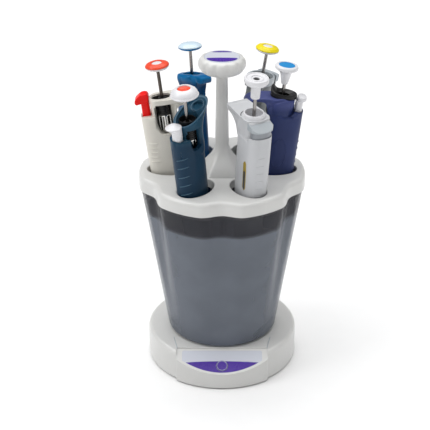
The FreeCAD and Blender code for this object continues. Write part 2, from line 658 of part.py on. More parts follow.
def make_ejector_button(name):
    """Thumb cap and stem outside, and a foot inside the handle that meets the rod."""
    face, width = stem_slot(name)
    stem_top, outline, half = EJECTORS.get(name, (71.0, None, 0.0))
    stem = Part.makeBox(width, 9.6, stem_top - 51.0, Vector(face, -4.8, 51.0))
    stem = rounded_edges(stem, 0.3 * width, lambda e, m: abs(m.z - 0.5 * (stem_top + 51.0)) < 1e-3)
    foot = Part.makeBox(face + 2.6 - 9.9, 7.2, 8.0, Vector(9.9, -3.6, 44.0))
    if outline:
        cap = cushion([(u + face - 12.6, w) for u, w in outline], half, 0.14)
    else:
        cap = turned([(0, 70.0), (4.6, 70.0), (6.9, 72.6), (7.0, 74.0), (5.6, 76.2), (3.0, 77.4), (0, 77.4)])
        cap.translate(Vector(face + 7.0, 0, 0))
    rod_u, rod_r = EJECTOR_ROD
    socket = Part.makeCylinder(rod_r + 0.02, 6.0, Vector(rod_u, 0, 43.0))
    return placed(name, stem.fuse(foot).fuse(cap).cut(socket))


def make_ejector_sleeve(name):
    w = HANDLE_BOTTOM_W
    rod_u, rod_r = EJECTOR_ROD
    body = tube(8.5, 7.2, w - 66.0, w - 6.0)
    arm = Part.makeBox(rod_u + 2.2 - 7.6, 5.0, 4.0, Vector(7.6, -2.5, w - 10.0))
    rod = Part.makeCylinder(rod_r, 48.9 - (w - 8.0), Vector(rod_u, 0, w - 8.0))
    return placed(name, union([body, arm, rod]))


# ---- write every piece ---------------------------------------------------------
STAND = {
    "base_housing": make_base_housing,
    "base_plate": make_base_plate,
    "rubber_feet": make_rubber_feet,
    "base_screws": make_base_screws,
    "control_panel": make_control_panel,
    "start_button": make_start_button,
    "circuit_board": make_circuit_board,
    "power_inlet": make_power_inlet,
    "bearing_ring": make_bearing_ring,
    "lamp_socket": make_lamp_socket,
    "uv_lamps": make_uv_lamps,
    "tub": make_tub,
    "reflector_liner": make_reflector_liner,
    "tip_rest": make_tip_rest,
    "lid": make_lid,
    "hub_post": make_hub_post,
    "knob": make_knob,
    "knob_badge": make_knob_badge,
}

PIPETTE_PIECES = {
    "handle": make_handle,
    "nozzle": make_nozzle,
    "dial": make_dial,
    "plunger_button": make_plunger_button,
    "plunger_rod": make_plunger_rod,
    "ejector_button": make_ejector_button,
    "ejector_sleeve": make_ejector_sleeve,
}

for piece, maker in STAND.items():
    save(piece, maker())

for letter in sorted(PIPETTES):
    for piece, maker in PIPETTE_PIECES.items():
        save("pipette_" + letter + "_" + piece, maker(letter))
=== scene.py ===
import bpy
import bmesh
import json
import math
from mathutils import Matrix, Vector
from mathutils.bvhtree import BVHTree


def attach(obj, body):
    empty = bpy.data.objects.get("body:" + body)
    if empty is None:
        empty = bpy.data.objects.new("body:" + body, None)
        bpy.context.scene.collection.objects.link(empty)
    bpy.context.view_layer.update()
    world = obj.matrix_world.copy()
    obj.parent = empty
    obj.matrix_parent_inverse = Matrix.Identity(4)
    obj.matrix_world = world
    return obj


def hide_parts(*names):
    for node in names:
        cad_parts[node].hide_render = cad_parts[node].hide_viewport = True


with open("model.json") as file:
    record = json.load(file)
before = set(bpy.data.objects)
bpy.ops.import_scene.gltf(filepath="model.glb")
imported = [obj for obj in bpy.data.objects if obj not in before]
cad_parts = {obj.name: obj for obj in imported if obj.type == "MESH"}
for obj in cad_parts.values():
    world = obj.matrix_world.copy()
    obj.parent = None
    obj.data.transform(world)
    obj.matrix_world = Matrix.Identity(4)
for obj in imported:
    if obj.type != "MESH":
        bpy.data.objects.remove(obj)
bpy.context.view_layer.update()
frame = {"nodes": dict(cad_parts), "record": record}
NODES = frame["nodes"]


# ---- sizes shared with the CAD, in millimetres -----------------------------------
MM = 0.001
LID_TOP = 203.4
# angle, radius, tangential offset, outward lean, sideways lean, turn about its own axis
AT = {
    "a": (180, 47.0, 0.0, 7.1, 0.0, 0.0), "b": (240, 50.5, 0.0, 6.0, -2.2, -7.0),
    "c": (120, 49.5, 0.0, 6.0, 0.3, 0.0), "d": (300, 49.5, 0.0, 6.0, 0.0, 0.0),
    "e": (0, 48.0, 0.0, 6.6, 0.0, 0.0), "f": (60, 50.5, -1.2, 6.0, -7.3, 0.0),
}
TOP_W = {"a": 79.0, "b": 75.0, "c": 76.0, "d": 76.0, "e": 71.5, "f": 77.0}
BUTTON_W = {"a": 104.0, "b": 97.0, "c": 103.5, "d": 100.0, "e": 91.8, "f": 104.0}
WINDOW_SIDE = {"a": 90.0, "b": 90.0, "c": -90.0, "e": -90.0, "f": -90.0}
PANEL_FOOT = (-77.0, 17.5)          # y and z of the lower edge of the sloped panel
PANEL_TILT = math.atan2(14.0, 25.0)
BUTTON_UP = 9.3
KNOB_FOOT, KNOB_TOP = 301.8, 317.4
DISH_U, DISH_FALL = -16.2, 0.4      # centre of the round recess in pipette b's hook, and its slope


def axes_of(letter):
    """Matrix from a pipette's own millimetres (u out, v across, w up) to metres."""
    angle, radius, offset, lean_out, lean_side, turn = AT[letter]
    around = Matrix.Rotation(math.radians(angle), 4, "Z")
    where = around @ Vector((radius, offset, 0)) + Vector((0, 0, LID_TOP))
    lean = Matrix.Rotation(math.radians(lean_out), 4, "Y")
    lean = lean @ Matrix.Rotation(math.radians(-lean_side), 4, "X")
    lean = lean @ Matrix.Rotation(math.radians(turn), 4, "Z")
    return Matrix.Scale(MM, 4) @ Matrix.Translation(where) @ around @ lean


STAND_AXES = Matrix.Scale(MM, 4)
SLOPE_AXES = (Matrix.Scale(MM, 4) @ Matrix.Translation((0, PANEL_FOOT[0], PANEL_FOOT[1]))
              @ Matrix.Rotation(PANEL_TILT, 4, "X"))


# ---- materials ---------------------------------------------------------------------
DRIFT_SCALE, DRIFT_DETAIL = 38.0, 2.0       # slow colour drift over a moulding
SCUFF_SCALE, SCUFF_DETAIL = 160.0, 8.0      # wear marks, drawn out along the height
GRAIN_DETAIL = 4.0
GRAIN_DEPTH = 0.0004                        # metres, before each look's own strength
ROUGH_SWING, ROUGH_LEAST = 0.07, 0.03
COAT_ROUGH = 0.08


def textured(nt, scale, detail, stretch=None):
    """Noise on object coordinates, stretched along one direction if asked."""
    coords = nt.nodes.new("ShaderNodeTexCoord")
    tex = nt.nodes.new("ShaderNodeTexNoise")
    tex.inputs["Scale"].default_value = scale
    tex.inputs["Detail"].default_value = detail
    source = coords.outputs["Object"]
    if stretch:
        mapping = nt.nodes.new("ShaderNodeMapping")
        mapping.inputs["Scale"].default_value = stretch
        nt.links.new(source, mapping.inputs["Vector"])
        source = mapping.outputs["Vector"]
    nt.links.new(source, tex.inputs["Vector"])
    return tex.outputs["Fac"]


def ramp(nt, source, stops):
    """Colours at given places along a value."""
    node = nt.nodes.new("ShaderNodeValToRGB")
    elements = node.color_ramp.elements
    while len(elements) < len(stops):
        elements.new(0.5)
    for element, (place, colour) in zip(elements, stops):
        element.position = place
        element.color = (*colour, 1)
    nt.links.new(source, node.inputs["Fac"])
    return node.outputs["Color"]


def mapped(nt, source, low, high, start=0.0, end=1.0):
    """A value from start to end carried over to low to high."""
    node = nt.nodes.new("ShaderNodeMapRange")
    node.inputs["From Min"].default_value = start
    node.inputs["From Max"].default_value = end
    node.inputs["To Min"].default_value = low
    node.inputs["To Max"].default_value = high
    nt.links.new(source, node.inputs["Value"])
    return node.outputs["Result"]


def mixed(nt, fac, first, second):
    """From the first colour to the second as fac goes from 0 to 1."""
    node = nt.nodes.new("ShaderNodeMix")
    node.data_type = "RGBA"
    nt.links.new(fac, node.inputs["Factor"])
    nt.links.new(first, node.inputs["A"])
    nt.links.new(second, node.inputs["B"])
    return node.outputs["Result"]


def moulded(name, colour, rough=0.35, grain=900.0, bump=0.05, spread=0.035, coat=0.0, metallic=0.0,
            stretch=None, alpha=None, upper=None, scuff=0.0, spec=0.5):
    """Plastic, rubber or metal: slow colour drift, fine grain in bump and roughness.
    upper: (height, colour, half width of the change) of what lies above that height in millimetres;
    scuff: strength of faint wear marks."""
    m = bpy.data.materials.new(name)
    m.use_nodes = True
    nt, shader = m.node_tree, m.node_tree.nodes["Principled BSDF"]
    broad = textured(nt, DRIFT_SCALE, DRIFT_DETAIL, stretch)
    fine = textured(nt, grain, GRAIN_DETAIL, stretch)
    tint = ramp(nt, broad, ((0.35, [c * (1 - spread) for c in colour]),
                            (0.65, [min(1.0, c * (1 + spread)) for c in colour])))
    if upper:
        height, other, soft = upper
        coords = nt.nodes.new("ShaderNodeTexCoord")
        split = nt.nodes.new("ShaderNodeSeparateXYZ")
        nt.links.new(coords.outputs["Object"], split.inputs["Vector"])
        above = mapped(nt, split.outputs["Z"], 0.0, 1.0, (height - soft) * MM, (height + soft) * MM)
        second = ramp(nt, broad, ((0.35, [c * (1 - spread) for c in other]),
                                  (0.65, [c * (1 + spread) for c in other])))
        tint = mixed(nt, above, tint, second)
    if scuff:
        marks = textured(nt, SCUFF_SCALE, SCUFF_DETAIL, (1, 1, 0.25))
        worn = ramp(nt, marks, ((0.58, (0, 0, 0)), (0.72, (scuff, scuff, scuff))))
        pale = ramp(nt, broad, ((0.3, [min(1.0, c * 1.25 + 0.02) for c in colour]),
                                (0.7, [min(1.0, c * 1.35 + 0.03) for c in colour])))
        tint = mixed(nt, worn, tint, pale)
    nt.links.new(tint, shader.inputs["Base Color"])
    rough_range = max(ROUGH_LEAST, rough - ROUGH_SWING), rough + ROUGH_SWING
    nt.links.new(mapped(nt, fine, *rough_range), shader.inputs["Roughness"])
    bumps = nt.nodes.new("ShaderNodeBump")
    bumps.inputs["Strength"].default_value = bump
    bumps.inputs["Distance"].default_value = GRAIN_DEPTH
    nt.links.new(fine, bumps.inputs["Height"])
    nt.links.new(bumps.outputs["Normal"], shader.inputs["Normal"])
    shader.inputs["Specular IOR Level"].default_value = spec
    shader.inputs["Coat Weight"].default_value = coat
    shader.inputs["Coat Roughness"].default_value = COAT_ROUGH
    shader.inputs["Metallic"].default_value = metallic
    if alpha is not None:
        shader.inputs["Alpha"].default_value = alpha
    return m


ALONG = (1, 1, 0.08)                # brushed along the rods
LINER_TOP = 165.0                   # the tub's colour is painted darker above its liner: painted shade under the lid
LOOKS = {
    "shell": moulded("shell_white", (0.68, 0.68, 0.665), 0.3, 1100, 0.05, 0.015, 0.2, scuff=0.06),
    # tub: the darker colour above LINER_TOP is painted shade, where the lid shades the wall and no lit liner
    # shows through
    "tub": moulded("tub_smoke", (0.2, 0.222, 0.262), 0.2, 260, 0.03, 0.05, 0.05, alpha=0.62,
                   upper=(LINER_TOP, (0.052, 0.053, 0.063), 1.2), spec=0.13),
    "liner": moulded("liner_grey", (0.46, 0.48, 0.54), 0.35, 600, 0.05, 0.03, metallic=0.3, stretch=ALONG),
    "dark": moulded("dark_plastic", (0.012, 0.012, 0.013), 0.36, 900, 0.08, 0.15, 0.05, spec=0.3),
    "rubber": moulded("rubber_black", (0.02, 0.02, 0.02), 0.75, 1400, 0.3, 0.15),
    "steel": moulded("steel", (0.3, 0.285, 0.275), 0.24, 700, 0.06, 0.06, metallic=1.0, stretch=ALONG),
    "bright_steel": moulded("bright_steel", (0.66, 0.65, 0.63), 0.16, 700, 0.04, 0.06, metallic=1.0,
                            stretch=ALONG),
    "dark_steel": moulded("dark_steel", (0.1, 0.085, 0.075), 0.3, 700, 0.06, 0.1, metallic=0.9,
                          stretch=ALONG),
    "lamp": moulded("lamp_glass", (0.82, 0.85, 0.95), 0.08, 500, 0.01, 0.02, 0.6, alpha=0.6),
    "board": moulded("board_green", (0.03, 0.16, 0.07), 0.45, 500, 0.1, 0.25),
    "label": moulded("label_white", (0.6, 0.625, 0.7), 0.25, 1500, 0.02, 0.01, 0.3),
    "purple": moulded("label_purple", (0.055, 0.012, 0.3), 0.28, 1500, 0.02, 0.06, 0.1, spec=0.3),
    "white": moulded("white_plastic", (0.76, 0.76, 0.785), 0.28, 1200, 0.03, 0.012, 0.3),
    "ivory": moulded("ivory_plastic", (0.7, 0.675, 0.61), 0.42, 1000, 0.1, 0.03, scuff=0.2),
    "red": moulded("red_plastic", (0.85, 0.006, 0.004), 0.3, 1200, 0.04, 0.08, 0.05, spec=0.15),
    "coral": moulded("coral_plastic", (0.82, 0.075, 0.03), 0.28, 1200, 0.03, 0.05, 0.15, spec=0.25),
    "navy": moulded("navy_plastic", (0.006, 0.034, 0.072), 0.36, 1000, 0.07, 0.1, 0.03,
                    upper=(258.0, (0.014, 0.06, 0.105), 3.0), scuff=0.15, spec=0.15),
    # lighter navy: a painted highlight for the ridges and edges of pipette b
    "navy_highlight": moulded("navy_painted_highlight", (0.045, 0.11, 0.17), 0.34, 1000, 0.07, 0.1, spec=0.3),
    "blue": moulded("blue_plastic", (0.0, 0.06, 0.18), 0.34, 1000, 0.05, 0.08, 0.03,
                    upper=(LID_TOP + 72.5, (0.003, 0.15, 0.38), 2.0), scuff=0.1, spec=0.15),
    "pale": moulded("pale_grey_plastic", (0.56, 0.57, 0.59), 0.36, 1000, 0.06, 0.02, 0.1, scuff=0.15),
    "violet": moulded("violet_plastic", (0.026, 0.04, 0.13), 0.42, 1000, 0.08, 0.07,
                      upper=(270.0, (0.055, 0.07, 0.21), 3.0), scuff=0.12, spec=0.2),
    "mid_grey": moulded("mid_grey_plastic", (0.2, 0.215, 0.22), 0.34, 1000, 0.06, 0.05, 0.1, scuff=0.1),
    "wedge_grey": moulded("wedge_grey_plastic", (0.42, 0.46, 0.49), 0.34, 1000, 0.06, 0.05, 0.1),
    "stem_grey": moulded("stem_grey_plastic", (0.3, 0.32, 0.35), 0.34, 1000, 0.06, 0.05, 0.1),
    "yellow": moulded("yellow_plastic", (0.8, 0.66, 0.008), 0.3, 1200, 0.03, 0.05, 0.15, spec=0.25),
    "sky": moulded("sky_plastic", (0.008, 0.25, 0.6), 0.25, 1200, 0.03, 0.06, 0.2, spec=0.3),
    "ice": moulded("ice_plastic", (0.62, 0.76, 0.86), 0.25, 1200, 0.03, 0.02, 0.3),
    "gold": moulded("gold_print", (0.33, 0.24, 0.035), 0.35, 1200, 0.04, 0.08, 0.2),
    "ink": moulded("ink_print", (0.035, 0.033, 0.032), 0.35, 1200, 0.04, 0.12, 0.2),
}
SLOT_LOOK = {
    "shell_white": "shell", "tub_smoke": "tub", "liner_grey": "liner", "dark_plastic": "dark",
    "rubber_black": "rubber", "steel": "steel", "dark_steel": "dark_steel", "lamp_glass": "lamp",
    "board_green": "board", "label_white": "label", "label_purple": "purple", "white_plastic": "white",
    "ivory_plastic": "ivory", "red_plastic": "red", "coral_plastic": "coral", "navy_plastic": "navy",
    "blue_plastic": "blue", "pale_grey_plastic": "pale", "violet_plastic": "violet",
    "mid_grey_plastic": "mid_grey", "yellow_plastic": "yellow",
}
for entry in frame["record"]["subparts"]:
    node = NODES[entry["node"]]
    node.data.materials.clear()
    node.data.materials.append(LOOKS[SLOT_LOOK[entry["material_slot"]]])


# ---- builders ----------------------------------------------------------------------
ROUNDING_STEPS, ROUNDED_FROM = 3, math.radians(25)      # only edges sharper than this are rounded


def new_piece(bm, name, look, body, replaces=(), bevel=0.0, sharp=32.0):
    """Turn a mesh in metres into a smooth-shaded piece on a body, with its edges rounded."""
    bmesh.ops.recalc_face_normals(bm, faces=bm.faces)
    mesh = bpy.data.meshes.new(name)
    bm.to_mesh(mesh)
    bm.free()
    mesh.polygons.foreach_set("use_smooth", [True] * len(mesh.polygons))
    mesh.set_sharp_from_angle(angle=math.radians(sharp))
    mesh.materials.append(LOOKS[look])
    piece = bpy.data.objects.new(name, mesh)
    bpy.context.scene.collection.objects.link(piece)
    if bevel:
        rounding = piece.modifiers.new("edges", "BEVEL")
        rounding.width = bevel * MM
        rounding.segments = ROUNDING_STEPS
        rounding.limit_method = "ANGLE"
        rounding.angle_limit = ROUNDED_FROM
        rounding.use_clamp_overlap = True
    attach(piece, body)
    if replaces:
        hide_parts(*replaces)
    return piece


def wall(bm, first, second):
    """Close the gap between two loops of the same length."""
    for i, v in enumerate(first):
        j = (i + 1) % len(first)
        bm.faces.new((v, first[j], second[j], second[i]))


def lathe(name, corners, look, body, axes, replaces=(), segments=96, bevel=0.2, wobble=None):
    """Turned piece from (radius, height) corners; a profile off the axis closes on itself.
    wobble(angle, radius) scales the radius."""
    bm = bmesh.new()
    rings = []
    for r, h in corners:
        if r < 1e-6:
            rings.append([bm.verts.new(axes @ Vector((0, 0, h)))])
            continue
        ring = []
        for i in range(segments):
            a = 2 * math.pi * i / segments
            k = wobble(a, r) if wobble else 1.0
            ring.append(bm.verts.new(axes @ Vector((r * k * math.cos(a), r * k * math.sin(a), h))))
        rings.append(ring)
    pairs = list(zip(rings, rings[1:]))
    if corners[0][0] > 1e-6 and corners[-1][0] > 1e-6:
        pairs.append((rings[-1], rings[0]))
    for lower, upper in pairs:
        if min(len(lower), len(upper)) > 1:
            wall(bm, lower, upper)
            continue
        for i in range(segments):
            j = (i + 1) % segments
            if len(lower) == 1:
                bm.faces.new((lower[0], upper[i], upper[j]))
            else:
                bm.faces.new((lower[i], lower[j], upper[0]))
    return new_piece(bm, name, look, body, replaces, bevel)


def rounded(corners, steps=5):
    """Smooth curve through (radius, height) points (Catmull-Rom)."""
    points = []
    for i in range(len(corners) - 1):
        p0, p1 = corners[max(i - 1, 0)], corners[i]
        p2, p3 = corners[i + 1], corners[min(i + 2, len(corners) - 1)]
        for k in range(steps):
            t = k / steps
            points.append(tuple(0.5 * (2 * b + (c - a) * t + (2 * a - 5 * b + 4 * c - d) * t * t
                                       + (3 * b - a - 3 * c + d) * t ** 3)
                                for a, b, c, d in zip(p0, p1, p2, p3)))
    return points + [corners[-1]]


def slab(name, outlines, low, high, look, body, axes, replaces=(), bevel=0.0):
    """Flat plate between two heights; the first outline is its edge, any others are holes."""
    bm = bmesh.new()
    edges = []
    for outline in outlines:
        verts = [bm.verts.new((x, y, high)) for x, y in outline]
        edges += [bm.edges.new((v, verts[(i + 1) % len(verts)])) for i, v in enumerate(verts)]
    bmesh.ops.triangle_fill(bm, edges=edges, use_beauty=True)
    bmesh.ops.dissolve_limit(bm, angle_limit=0.01, verts=bm.verts, edges=bm.edges)
    grown = bmesh.ops.extrude_face_region(bm, geom=list(bm.faces))
    for item in grown["geom"]:
        if isinstance(item, bmesh.types.BMVert):
            item.co.z = low
    bmesh.ops.transform(bm, matrix=axes, verts=bm.verts)
    return new_piece(bm, name, look, body, replaces, bevel)


def circle(radius, x=0.0, y=0.0, count=64):
    """Outline of a disc."""
    return [(x + radius * math.cos(2 * math.pi * i / count), y + radius * math.sin(2 * math.pi * i / count))
            for i in range(count)]


def arc_band(inner, outer, start, end, count=40):
    """Outline of part of a ring, between two angles in degrees."""
    angles = [math.radians(start + (end - start) * i / count) for i in range(count + 1)]
    return ([(outer * math.cos(a), outer * math.sin(a)) for a in angles]
            + [(inner * math.cos(a), inner * math.sin(a)) for a in reversed(angles)])


def superellipse(centre, half_u, half_v, power=2.4, count=64):
    """Outline of an oval with squared shoulders, centred on (centre, 0)."""
    points = []
    for i in range(count):
        a = 2 * math.pi * i / count
        c, n = math.cos(a), math.sin(a)
        points.append((centre + half_u * math.copysign(abs(c) ** (2 / power), c),
                       half_v * math.copysign(abs(n) ** (2 / power), n)))
    return points


def crescent(inner, outer, half, power, count=24):
    """Outline between two ovals (centre, half u, half v) that face outwards."""
    across = [half * math.sin(math.pi * (i / count - 0.5)) for i in range(count + 1)]

    def edge(oval, v):
        centre, half_u, half_v = oval
        return centre + half_u * (1.0 - min(0.999, abs(v / half_v)) ** power) ** (1.0 / power)

    return [(edge(outer, v), v) for v in across] + [(edge(inner, v), v) for v in reversed(across)]


def prism(name, outline, low, high, look, body, axes, replaces=(), bevel=0.0):
    """Upright block on an outline; low and high may be functions of (u, v)."""
    bm = bmesh.new()
    bottom = [bm.verts.new(axes @ Vector((u, v, low(u, v) if callable(low) else low))) for u, v in outline]
    top = [bm.verts.new(axes @ Vector((u, v, high(u, v) if callable(high) else high))) for u, v in outline]
    bm.faces.new(bottom)
    bm.faces.new(reversed(top))
    wall(bm, bottom, top)
    return new_piece(bm, name, look, body, replaces, bevel)


def column(name, sections, look, body, axes, replaces=(), bevel=0.0, power=2.6):
    """Loft through ovals given as (height, u from, u to, half v)."""
    bm, rings = bmesh.new(), []
    for w, u0, u1, half in sections:
        rings.append([bm.verts.new(axes @ Vector((u, v, w)))
                      for u, v in superellipse(0.5 * (u0 + u1), 0.5 * (u1 - u0), half, power, 48)])
    for lower, upper in zip(rings, rings[1:]):
        wall(bm, lower, upper)
    bm.faces.new(reversed(rings[0]))
    bm.faces.new(rings[-1])
    return new_piece(bm, name, look, body, replaces, bevel)


def stepped(x, points):
    """Straight-line interpolation through (x, y) points."""
    if x <= points[0][0]:
        return points[0][1]
    for (x0, y0), (x1, y1) in zip(points, points[1:]):
        if x <= x1:
            return y0 + (y1 - y0) * (x - x0) / (x1 - x0)
    return points[-1][1]


def ease(x, low, high):
    """Smooth step from 0 at low to 1 at high."""
    t = min(1.0, max(0.0, (x - low) / (high - low)))
    return t * t * (3.0 - 2.0 * t)


WELD = 0.002                        # millimetres
HANDLES = {}                        # search trees of the reshaped handles


def local_mesh(letter):
    """A copy of a CAD handle in the pipette's own millimetres, with its seams welded."""
    node = NODES["pipette_%s_handle" % letter]
    bm = bmesh.new()
    bm.from_mesh(node.data)
    bmesh.ops.transform(bm, matrix=axes_of(letter).inverted() @ node.matrix_world, verts=bm.verts)
    bmesh.ops.remove_doubles(bm, verts=bm.verts, dist=WELD)
    return bm


def cut_away(bm, cutters):
    """Subtract closed cutter meshes from a mesh."""
    mesh = bpy.data.meshes.new("blank")
    bm.to_mesh(mesh)
    bm.free()
    blank = bpy.data.objects.new("blank", mesh)
    bpy.context.scene.collection.objects.link(blank)
    tools = []
    for cutter in cutters:
        shape = bpy.data.meshes.new("cutter")
        bmesh.ops.recalc_face_normals(cutter, faces=cutter.faces)
        cutter.to_mesh(shape)
        cutter.free()
        tool = bpy.data.objects.new("cutter", shape)
        bpy.context.scene.collection.objects.link(tool)
        tools.append(tool)
        cut = blank.modifiers.new("cut", "BOOLEAN")
        cut.object, cut.operation, cut.solver = tool, "DIFFERENCE", "EXACT"
    ready = blank.evaluated_get(bpy.context.evaluated_depsgraph_get())
    result = bmesh.new()
    result.from_mesh(ready.to_mesh())
    for extra in tools + [blank]:
        bpy.data.objects.remove(extra)
    return result


def block_cutter(outline, low, high, place=lambda x, y, z: (x, y, z)):
    """Closed cutter on an outline between two levels; place turns it another way."""
    bm = bmesh.new()
    first = [bm.verts.new(place(x, y, low)) for x, y in outline]
    last = [bm.verts.new(place(x, y, high)) for x, y in outline]
    bm.faces.new(first)
    bm.faces.new(last)
    wall(bm, first, last)
    return bm


WINDOW_NEAR, WINDOW_FAR = 2.6, 40.0         # from just off the axis to well outside the handle
WINDOW_TOP_CORNER = 0.6


def slot_cutter(u0, u1, low, high, corner):
    """Window block towards +v with large lower corners and small upper ones."""
    outline, small = [], WINDOW_TOP_CORNER
    for cu, cw, r, start in ((u1 - corner, low + corner, corner, 270), (u1 - small, high - small, small, 0),
                             (u0 + small, high - small, small, 90), (u0 + corner, low + corner, corner, 180)):
        angles = [math.radians(start + 15 * k) for k in range(7)]
        outline += [(cu + r * math.cos(a), cw + r * math.sin(a)) for a in angles]
    return block_cutter(outline, WINDOW_NEAR, WINDOW_FAR, lambda u, w, v: (u, v, w))


COVER_PROUD, COVER_THICK = 0.03, 0.9


def close_window(bm, u0, u1, low, high, across=14, up=18):
    """Wall over the window in the -v cheek: the opposite cheek mirrored."""
    skin, outer, inner = BVHTree.FromBMesh(bm), [], []
    for i in range(across + 1):
        for j in range(up + 1):
            u, w = u0 + (u1 - u0) * i / across, low + (high - low) * j / up
            v = -skin.ray_cast(Vector((u, WINDOW_FAR, w)), Vector((0, -1, 0)))[0].y
            outer.append(bm.verts.new((u, v - COVER_PROUD, w)))
            inner.append(bm.verts.new((u, v + COVER_THICK, w)))
    step = up + 1
    for i in range(across):
        for j in range(up):
            k = step * i + j
            for side in (outer, inner):
                bm.faces.new((side[k], side[k + step], side[k + step + 1], side[k + 1]))
    edge = list(range(step)) + [step * i + up for i in range(1, across + 1)]
    edge += [step * across + j for j in reversed(range(up))] + [step * i for i in reversed(range(1, across))]
    wall(bm, [outer[k] for k in edge], [inner[k] for k in edge])


def reshape(letter, look, move, cutters=(), closed=None):
    """Stand-in for a CAD handle with its head reshaped by move(point)."""
    bm = local_mesh(letter)
    if closed:
        close_window(bm, *closed)
    for v in bm.verts:
        v.co = move(v.co)
    if cutters:
        bm = cut_away(bm, cutters)
    HANDLES[letter] = BVHTree.FromBMesh(bm)
    bmesh.ops.transform(bm, matrix=axes_of(letter), verts=bm.verts)
    new_piece(bm, "pipette_%s_grip" % letter, look, "pipette_%s_body" % letter,
              ("pipette_%s_handle" % letter,), sharp=38.0)


HEAD_FOOT_A, HEAD_SHARE_A = 66.0, 0.7
HOOK_FROM = -9.0                    # u where the hooks leave the heads
HOOK_SHARE = 0.4                    # length kept of a shortened hook
HOOK_TURN_C = math.radians(24)


def low_head(point):
    """Pipette a: flat head a little lower than the collision shape."""
    u, v, w = point
    return Vector((u, v, HEAD_FOOT_A + HEAD_SHARE_A * (w - HEAD_FOOT_A) if w > HEAD_FOOT_A else w))


def unchanged(point):
    """Pipette b keeps its CAD shape and only gets a wider window."""
    return Vector(point)


def shortened(u, share):
    """A point on the hook drawn in towards the head; share is how far the change has come."""
    return HOOK_FROM + (u - HOOK_FROM) * (1.0 - (1.0 - HOOK_SHARE) * share)


def saddle(point):
    """Pipette c: narrow waist under a short, broad hook that is turned and droops at its tip."""
    u, v, w = point
    waist = ease(w, 44.0, 52.0) * (1.0 - ease(w, 68.0, 74.5))
    v -= math.copysign((1.8 + 1.2 * ease(w, 56.0, 64.0)) * waist * ease(abs(v), 7.9, 11.0), v)
    high = min(1.0, max(0.0, (w - 60.0) / 16.0))
    w -= high * stepped(u, ((-32, 6.6), (-27, 5.0), (-20, 0.6), (-16, -1.0), (-4, -1.5), (3, 0.0), (8, 1.9)))
    if u < HOOK_FROM:
        v *= 1.0 - 0.26 * ease(-u, 18.0, 31.0) * ease(w, 54.0, 62.0)
        u = shortened(u, ease(w, 52.0, 60.0))
    turn = HOOK_TURN_C * ease(w, 59.5, 67.0)
    u, v = u * math.cos(turn) - v * math.sin(turn), u * math.sin(turn) + v * math.cos(turn)
    return Vector((u, v, w + 0.15 * high * (0.79 * v - 0.62 * u)))


def raised_shoulder(point):
    """Pipettes d and e: the shoulder under the thumb piece stands higher."""
    u, v, w = point
    if u > 11.0 and 46.0 < w < 60.0:
        w += 3.6 * ease(w, 46.0, 58.0) * ease(u, 11.0, 12.2)
    return Vector((u, v, w))


def level_head(point):
    """Pipette e: flat top out to the thumb side, flush cheeks and a thin hook."""
    u, v, w = raised_shoulder(point)
    w += 3.1 * ease(w, 60.0, 71.0) * ease(u, -8.0, 2.0)
    if w > 58.0 and u > -12.0:
        v += math.copysign(0.8 * ease(abs(v), 9.0, 11.5) * ease(w, 58.0, 60.0), v)
    if 60.0 < w < 72.0:
        thin = ease(-u, 12.6, 15.5) * ease(w, 60.0, 61.5) * (1.0 - ease(-u, 25.0, 33.0))
        w += thin * (70.9 + 0.18 * (w - 66.0) - w)
    return Vector((u, v, w))


def short_hook(point):
    """Pipette f: stubby hook under an oval rim."""
    u, v, w = point
    if u < HOOK_FROM:
        u = shortened(u, ease(w, 56.0, 64.0))
    return Vector((u, v, w))


def on_skin(letter, start, direction):
    """Where a line meets the handle, and the surface's direction there."""
    hit, normal = HANDLES[letter].ray_cast(Vector(start), Vector(direction).normalized())[:2]
    if normal is not None and normal.dot(Vector(direction)) > 0:
        normal = -normal
    return hit, normal


def ribbon(name, letter, path, look, half, height, closed=False, sink=0.12):
    """Low rounded strip that lies on a handle; half and height may vary along the path (0..1)."""
    hits = [on_skin(letter, start, direction) for start, direction in path]
    hits = [(p, n) for p, n in hits if p is not None]
    axes, bm, rings = axes_of(letter), bmesh.new(), []
    count = len(hits)
    for i, (point, normal) in enumerate(hits):
        before = hits[(i - 1) % count if closed else max(i - 1, 0)][0]
        after = hits[(i + 1) % count if closed else min(i + 1, count - 1)][0]
        side = (after - before).cross(normal).normalized()
        t = i / (count - 1)
        w = half(t) if callable(half) else half
        h = height(t) if callable(height) else height
        ring = []
        for across, rise in ((-1.0, -sink), (-0.7, 0.55 * h), (-0.25, h), (0.25, h), (0.7, 0.55 * h),
                             (1.0, -sink)):
            ring.append(bm.verts.new(axes @ (point + side * (across * w) + normal * rise)))
        rings.append(ring)
    pairs = list(zip(rings, rings[1:])) + ([(rings[-1], rings[0])] if closed else [])
    for first, second in pairs:
        wall(bm, first, second)
    if not closed:
        bm.faces.new(rings[0])
        bm.faces.new(reversed(rings[-1]))
    return new_piece(bm, name, look, "pipette_%s_body" % letter, sharp=50.0)


def tapered(t, full, low=0.25, run=0.22):
    """Full in the middle, running out to low over the share run at both ends."""
    edge = min(t, 1.0 - t) / run
    return full * (low + (1.0 - low) * math.sin(0.5 * math.pi * min(1.0, edge)))


# ---- stand: knob, badge and control panel --------------------------------------------
FLUTES, FLUTE_DEPTH = 12, 0.052             # depth as a share of the radius
FLUTE_START, FLUTE_RUN = 17.2, 3.5          # radius where the flutes start, and how soon they are full
knob_line = rounded([(5.5, KNOB_FOOT + 0.2), (13.0, KNOB_FOOT + 0.1), (17.6, KNOB_FOOT + 1.4),
                     (20.8, KNOB_FOOT + 4.2), (22.3, KNOB_FOOT + 8.4), (21.9, KNOB_FOOT + 11.6),
                     (20.2, KNOB_FOOT + 14.2), (17.6, KNOB_TOP - 0.3)], 6)
knob_line += [(16.9, KNOB_TOP - 0.1), (16.6, KNOB_TOP - 0.5), (16.6, KNOB_TOP - 1.4), (5.5, KNOB_TOP - 1.4)]


